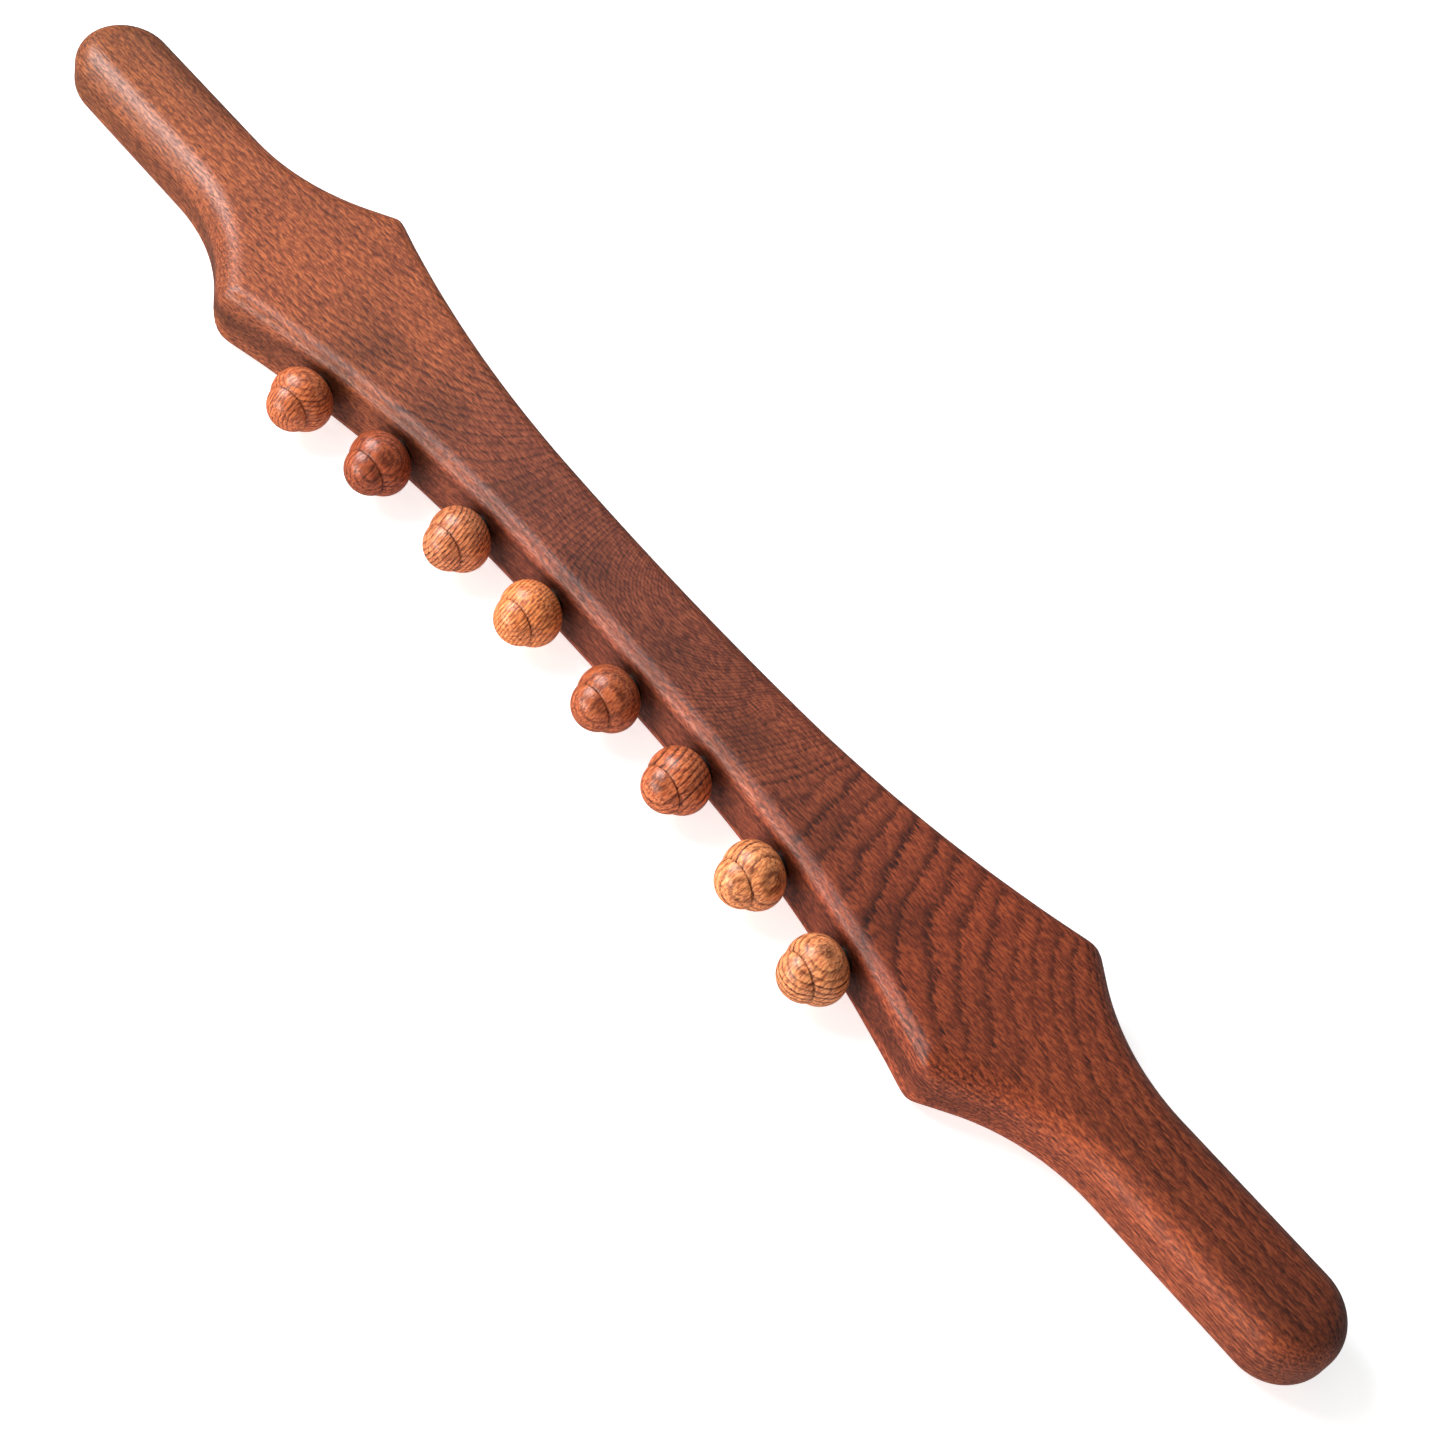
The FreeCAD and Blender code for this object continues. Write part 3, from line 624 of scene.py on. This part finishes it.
def wood(name, early, late, fibre_axis, contrast, wobble, gloss, fleck_colours, tint=None, lean=0.0):
    """Oiled wood: rings from the mesh's ring numbers, fibre and pores along fibre_axis.

    wobble is how far slow, quick and fibre-sized noise moves the rings, in rings.
    """
    s = Shader(name)
    coords = s.node("ShaderNodeTexCoord").outputs["Object"]
    leaned = s.node("ShaderNodeMapping", {"Vector": coords, "Rotation": (lean, 0, 0)})

    def along_fibre(along, across, detail, shift):
        scale = tuple(along if axis == fibre_axis else across for axis in range(3))
        inputs = {"Vector": leaned.outputs["Vector"], "Scale": scale, "Location": (shift,) * 3}
        moved = s.node("ShaderNodeMapping", inputs)
        return s.noise(moved.outputs["Vector"], 1.0, detail, 0.55, 0.25)

    coarse = along_fibre(*COARSE_FLECKS)
    fine = along_fibre(*FINE_FLECKS)
    pores = along_fibre(*PORES)
    cloud = s.noise(coords, CLOUD_SCALE, 3.0, 0.55)
    light = s.maths("ADD", s.maths("MULTIPLY", coarse, COARSE_SHARE), s.maths("MULTIPLY", fine, FINE_SHARE))
    light = s.spread(light, 0.5 - FLECK_SPREAD, 0.5 + FLECK_SPREAD)
    dash = s.maths("MULTIPLY", s.spread(pores, PORE_START, PORE_FULL), PORE_DEPTH, clamp=True)
    dark = ring_darkness(s, coords, coarse, wobble, contrast)
    dark = s.maths("MULTIPLY", dark, s.spread(light, 0.0, 1.0, 1.2, 0.8), clamp=True)

    colour = s.blend(dark, (*early, 1), (*late, 1))
    flecks = s.ramp(light, list(zip((0.0, 0.5, 1.0), fleck_colours)))
    colour = s.shaded(s.blend(1.0, colour, flecks, "MULTIPLY"), 2.0)
    colour = s.shaded(colour, s.spread(dash, 0.0, 1.0, 1.0, PORE_DARK))
    if tint is not None:
        colour = s.blend(1.0, colour, tint(s, coords), "MULTIPLY")
    # The stored tone scales the colour. It carries the painted light and shade of the bar and the rollers,
    # and the bar's darker streak.
    tone = s.node("ShaderNodeAttribute", attribute_name="tone").outputs["Fac"]
    clouded = s.spread(cloud, 0.3, 0.7, CLOUD_DARK, CLOUD_LIGHT)
    s.feed(s.surface.inputs["Base Color"], s.shaded(colour, s.maths("MULTIPLY", tone, clouded)))

    polish = s.spread(light, 0.0, 1.0, gloss + 0.05, gloss - 0.03)
    s.feed(s.surface.inputs["Roughness"], s.maths("ADD", polish, s.maths("MULTIPLY", dash, 0.1)))
    s.surface.inputs["Specular IOR Level"].default_value = WOOD_SPECULAR
    height = s.maths("SUBTRACT", s.maths("MULTIPLY", light, 0.5), s.maths("MULTIPLY", dash, 0.8))
    height = s.maths("SUBTRACT", height, s.maths("MULTIPLY", dark, 0.3))
    fine_bump = s.bump(height, FINE_BUMP, FINE_BUMP_M)
    s.feed(s.surface.inputs["Normal"], s.bump(cloud, BROAD_BUMP, BROAD_BUMP_M, fine_bump))
    return s.material


def ring_darkness(s, coords, coarse, wobble, contrast):
    """How dark the ring lines are, from the ring numbers stored on the mesh."""
    moved = s.node("ShaderNodeAttribute", attribute_name="rings").outputs["Fac"]
    slow = s.noise(coords, SLOW_WARP_SCALE, 2.0)
    quick = s.noise(coords, QUICK_WARP_SCALE, 3.0, 0.6)
    for warp, reach in zip((slow, quick, coarse), wobble):
        moved = s.maths("ADD", moved, s.maths("MULTIPLY", s.maths("SUBTRACT", warp, 0.5), reach))
    which = s.maths("FLOOR", moved)
    strength = s.node("ShaderNodeTexWhiteNoise", {"W": which}, noise_dimensions="1D").outputs["Value"]
    strength = s.spread(strength, 0.0, 1.0, FAINTEST_RING, 1.0)
    given = s.node("ShaderNodeAttribute", attribute_name="ring_strength").outputs["Fac"]
    profile = s.ramp(s.maths("FRACT", moved), RING_PROFILE)
    return s.maths("MULTIPLY", s.maths("MULTIPLY", profile, s.maths("MULTIPLY", strength, given)), contrast)


TINT_REACH_M = 0.26


def bar_tint(s, coords):
    """Colour along the bar: lighter and more orange on the left, darkest at the right end."""
    x = s.node("ShaderNodeSeparateXYZ", {"Vector": coords}).outputs["X"]
    share = s.spread(x, -TINT_REACH_M, TINT_REACH_M)
    return s.ramp(share, [
        (0.0, (0.72, 0.80, 0.62)),
        (0.18, (0.98, 0.93, 0.74)),
        (0.30, (0.95, 0.90, 0.72)),
        (0.37, (0.66, 0.60, 0.59)),
        (0.43, (0.62, 0.55, 0.58)),
        (0.55, (0.62, 0.54, 0.55)),
        (0.62, (0.64, 0.55, 0.53)),
        (0.73, (0.80, 0.56, 0.45)),
        (0.865, (0.70, 0.55, 0.45)),
        (1.0, (0.42, 0.35, 0.30)),
    ])


LATHE_MARKS = (900.0, 5200.0, 900.0)
HAZE_SCALE, HAZE_DARK = 260.0, 0.86


def steel(name, base, rough):
    """Turned steel with fine lathe marks."""
    s = Shader(name)
    coords = s.node("ShaderNodeTexCoord").outputs["Object"]
    marks = s.noise(s.stretched(coords, LATHE_MARKS), 1.0, 2.0)
    haze = s.noise(coords, HAZE_SCALE, 3.0)
    s.surface.inputs["Metallic"].default_value = 1.0
    dull = tuple(part * HAZE_DARK for part in base)
    s.feed(s.surface.inputs["Base Color"], s.blend(haze, (*dull, 1), (*base, 1)))
    s.feed(s.surface.inputs["Roughness"], s.spread(marks, 0.3, 0.7, rough - 0.07, rough + 0.08))
    s.feed(s.surface.inputs["Normal"], s.bump(marks, 0.2, 0.00003))
    return s.material


ROLLER_FIBRE_LEAN = math.radians(-35)
# Each roller is cut from its own scrap: light wood, dark wood, the ring figure on its belly and
# on its nose, contrast, wobble.  A figure is the direction that its rings circle (along the
# bar, up, out on the axle), their spacing and the depth of the first dark one, in mm.
ROLLER_WOODS = [
    ((203, 112, 70), (84, 32, 16), ((0, 1, 0), 1.1, 0.1), ((1, 0, 0), 1.1, 0.3), 0.8, 0.9),
    ((177, 89, 56), (54, 18, 12), ((1, 2, 1), 1.2, 0.15), ((1, 1, 1), 1.3, 0.3), 0.85, 0.8),
    ((226, 138, 93), (70, 24, 10), ((-2, 1, 1), 1.2, 0.3), ((-2, 1, 1), 1.2, 0.3), 1.0, 0.5),
    ((250, 151, 92), (112, 34, 10), ((4, -1, -1), 1.0, 0.3), ((4, -1, -1), 1.0, 0.3), 0.9, 0.4),
    ((184, 98, 61), (64, 22, 12), ((1, 2, 2), 2.4, 0.8), ((1, 2, 1), 1.7, 0.3), 0.7, 1.0),
    ((210, 116, 74), (60, 18, 8), ((3, -1, -1), 1.7, 0.3), ((0, 1, 1), 1.9, 0.5), 1.0, 1.0),
    ((244, 158, 103), (84, 26, 10), ((1, 1, 0), 2.3, 0.4), ((1, 1, 1), 2.0, 0.5), 1.0, 0.8),
    ((242, 155, 103), (66, 22, 10), ((0, 1, 0), 1.6, 0.1), ((0, 1, 0), 1.5, 1.2), 1.0, 0.5),
]
# Keeps every ring number on a roller above zero.
FIRST_RING = 40
QUICK_WOBBLE, FIBRE_WOBBLE, ROLLER_GLOSS = 0.35, 0.2, 0.28
# Painted shade in the crease and on the back face of each roller: how dark it gets, and how far it reaches
# in mm.
CREASE_PAINTED_SHADE, CREASE_SHADE_MM = 0.3, 0.45
BACK_PAINTED_SHADE, BACK_SHADE_MM = 0.3, 1.5


def in_roller_frame(points, place):
    """Points in a roller's own frame, in millimetres: along the bar, up, out on the axle."""
    turn = np.array(place.inverted().to_3x3())
    return (points - np.array(place.translation)) @ turn.T / MM


def grain_of_roller(points, place, belly, nose):
    """Ring number at each point of a roller: one figure on the belly, one on the nose."""
    p = in_roller_frame(points, place)
    on_nose = p[:, 2] - STAND_OFF_MM > CREASE_HEIGHT_MM
    found = []
    for (direction, spacing, first), middle in ((belly, BELLY_HEIGHT_MM), (nose, NOSE_HEIGHT_MM)):
        towards = np.array(direction, float)
        towards /= np.linalg.norm(towards)
        reach = NOSE_RADIUS_MM
        if middle == BELLY_HEIGHT_MM:
            flat = math.hypot(towards[0], towards[1])
            square = BELLY_RADIUS_MM**2 - (BELLY_OFFSET_MM * towards[2]) ** 2
            reach = BELLY_OFFSET_MM * flat + math.sqrt(square)
        depth = reach - (p - np.array([0, 0, middle + STAND_OFF_MM])) @ towards
        found.append((first - depth) / spacing + DARKEST_IN_RING + FIRST_RING)
    return np.where(on_nose, found[1], found[0])


def painted_shade_of_roller(points, place):
    """Painted shade: a roller is darkened in its crease and on its back face next to the bar, where shade
    falls.
    """
    p = in_roller_frame(points, place)
    height = p[:, 2] - STAND_OFF_MM
    crease = np.exp(-((height - CREASE_HEIGHT_MM) / CREASE_SHADE_MM) ** 2)
    return 1 - CREASE_PAINTED_SHADE * crease - BACK_PAINTED_SHADE * np.exp(-((height / BACK_SHADE_MM) ** 2))


def build_rollers():
    """The eight turned rollers, each riding on its own body."""
    profile = roller_profile()
    for number, ((body, place), facts) in enumerate(zip(ROLLER_FRAMES, ROLLER_WOODS), start=1):
        piece = turned(f"roller_{number}_turned", profile, place, TURN_SEGMENTS)
        piece.data.set_sharp_from_angle(angle=SHARP_ANGLE)
        early, late, belly, nose, contrast, wobble = facts
        rings = grain_of_roller(vertex_array(piece.data), place, belly, nose)
        store(piece.data, "rings", rings)
        store(piece.data, "ring_strength", np.ones_like(rings))
        store(piece.data, "tone", painted_shade_of_roller(vertex_array(piece.data), place))
        piece.data.materials.append(wood(
            f"roller_{number}_wood", rgb(*early), rgb(*late), Y_AXIS, contrast,
            (wobble, QUICK_WOBBLE * wobble, FIBRE_WOBBLE), ROLLER_GLOSS, ROLLER_FLECKS,
            lean=ROLLER_FIBRE_LEAN,
        ))
        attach(piece, body)
        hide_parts(f"roller_{number}")


BAR_EARLY, BAR_LATE = (178, 96, 66), (62, 29, 26)
BAR_CONTRAST, BAR_WOBBLE, BAR_GLOSS = 1.0, (1.1, 0.30, 0.45), 0.37


def build_bar():
    """The carved bar, which stands for the CAD bar."""
    bar = bored(carved_bar(), [place for _, place in ROLLER_FRAMES])
    bar.name = "bar_carved"
    rings, strength = grain_of_bar(vertex_array(bar.data))
    store(bar.data, "rings", rings)
    store(bar.data, "ring_strength", strength)
    store(bar.data, "tone", tone_of_bar(vertex_array(bar.data)))
    bar.data.materials.clear()
    bar.data.materials.append(wood(
        "bar_wood", rgb(*BAR_EARLY), rgb(*BAR_LATE), X_AXIS, BAR_CONTRAST,
        BAR_WOBBLE, BAR_GLOSS, BAR_FLECKS, bar_tint,
    ))
    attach(bar, "board")
    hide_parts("bar")


BRIGHT_STEEL, BRIGHT_ROUGH = (0.62, 0.62, 0.64), 0.28
# The bushes' near-black colour is painted shade: it stands for the shadow in the gap behind each roller,
# not for a finish on the steel.
SHADE_DARK_STEEL, BUSH_ROUGH = (0.07, 0.06, 0.055), 0.5


def finish_metal():
    """Materials for the CAD nodes that stay: bright axles and rings, and bushes coloured near black as
    painted shade for the dark gap behind each roller.
    """
    axle_steel = steel("axle_steel", BRIGHT_STEEL, BRIGHT_ROUGH)
    bush_steel = steel("bush_steel", SHADE_DARK_STEEL, BUSH_ROUGH)
    for name, node in frame["nodes"].items():
        if name.startswith(("axle", "retaining_ring", "bush")):
            chosen = bush_steel if name.startswith("bush") else axle_steel
            node.data.materials.clear()
            node.data.materials.append(chosen)


FLOOR_HALF_M, FLOOR_GREYS, FLOOR_GLOW = 3.0, (0.88, 0.91), 0.7


def build_floor():
    """A plain pale floor that gives off some light, to keep the background white."""
    corners = [(FLOOR_HALF_M * x, FLOOR_HALF_M * y, 0) for x, y in ((-1, -1), (1, -1), (1, 1), (-1, 1))]
    floor = mesh_object("floor", corners, [(0, 1, 2, 3)])
    s = Shader("floor_paper")
    coords = s.node("ShaderNodeTexCoord").outputs["Object"]
    tone = s.noise(coords, 3.0, 2.0)
    darker, lighter = ((grey, grey, grey, 1) for grey in FLOOR_GREYS)
    s.feed(s.surface.inputs["Base Color"], s.blend(tone, darker, lighter))
    s.surface.inputs["Emission Color"].default_value = (1, 1, 1, 1)
    s.surface.inputs["Emission Strength"].default_value = FLOOR_GLOW
    s.surface.inputs["Roughness"].default_value = 0.9
    s.surface.inputs["Specular IOR Level"].default_value = 0.1
    floor.data.materials.append(s.material)
    # The oiled wood would otherwise mirror the bright floor along its lower sides.
    floor.visible_glossy = False


WHITE, WARM = (1.0, 1.0, 1.0), (1.0, 0.93, 0.85)
SURROUND = 0.18
# Each softbox: name, direction, distance in metres, width, height, watts, colour.
SOFTBOXES = [
    ("key", (-0.69, -0.30, 0.66), 1.2, 0.75, 0.75, 15.5, WHITE),
    ("front", (-0.35, -0.90, 0.20), 1.3, 1.0, 0.5, 10.5, WARM),
    ("back", (-0.50, 0.45, 0.74), 1.4, 0.8, 0.8, 1.2, WHITE),
]


def area_light(name, direction, distance, width, height, watts, colour):
    """A softbox in a direction from the object, aimed at it."""
    data = bpy.data.lights.new(name, "AREA")
    data.shape = "RECTANGLE"
    data.size = width
    data.size_y = height
    data.energy = watts
    data.color = colour
    lamp = bpy.data.objects.new(name, data)
    towards = Vector(direction).normalized()
    lamp.location = towards * distance
    lamp.rotation_mode = "QUATERNION"
    lamp.rotation_quaternion = towards.to_track_quat("Z", "Y")
    bpy.context.scene.collection.objects.link(lamp)


def build_lights():
    """Dim even surroundings, a large key softbox from the left, a warm front one, a weak back one."""
    world = bpy.data.worlds.new("studio")
    world.use_nodes = True
    world.node_tree.nodes["Background"].inputs["Color"].default_value = (1, 1, 1, 1)
    world.node_tree.nodes["Background"].inputs["Strength"].default_value = SURROUND
    bpy.context.scene.world = world
    for softbox in SOFTBOXES:
        area_light(*softbox)
    bpy.context.scene.view_settings.view_transform = "Standard"


CAMERA_PLACE, CAMERA_AIM = Vector((0.2486, -0.3510, 0.5123)), Vector((0.0389, -0.0012, 0.011))
CAMERA_ROLL = math.radians(22.2)
LENS_MM, SENSOR_MM = 60.48, 36.0


def build_camera():
    """The camera: above the front right, rolled so that the bar runs down to the right."""
    data = bpy.data.cameras.new("camera")
    data.lens = LENS_MM
    data.sensor_width = SENSOR_MM
    camera = bpy.data.objects.new("camera", data)
    forward = (CAMERA_AIM - CAMERA_PLACE).normalized()
    level = forward.cross(Vector((0, 0, 1))).normalized()
    above = level.cross(forward)
    right = level * math.cos(CAMERA_ROLL) + above * math.sin(CAMERA_ROLL)
    up = right.cross(forward)
    turn = Matrix((right, up, -forward)).transposed().to_4x4()
    camera.matrix_world = Matrix.Translation(CAMERA_PLACE) @ turn
    bpy.context.scene.collection.objects.link(camera)
    bpy.context.scene.camera = camera


build_bar()
build_rollers()
finish_metal()
build_floor()
build_lights()
build_camera()
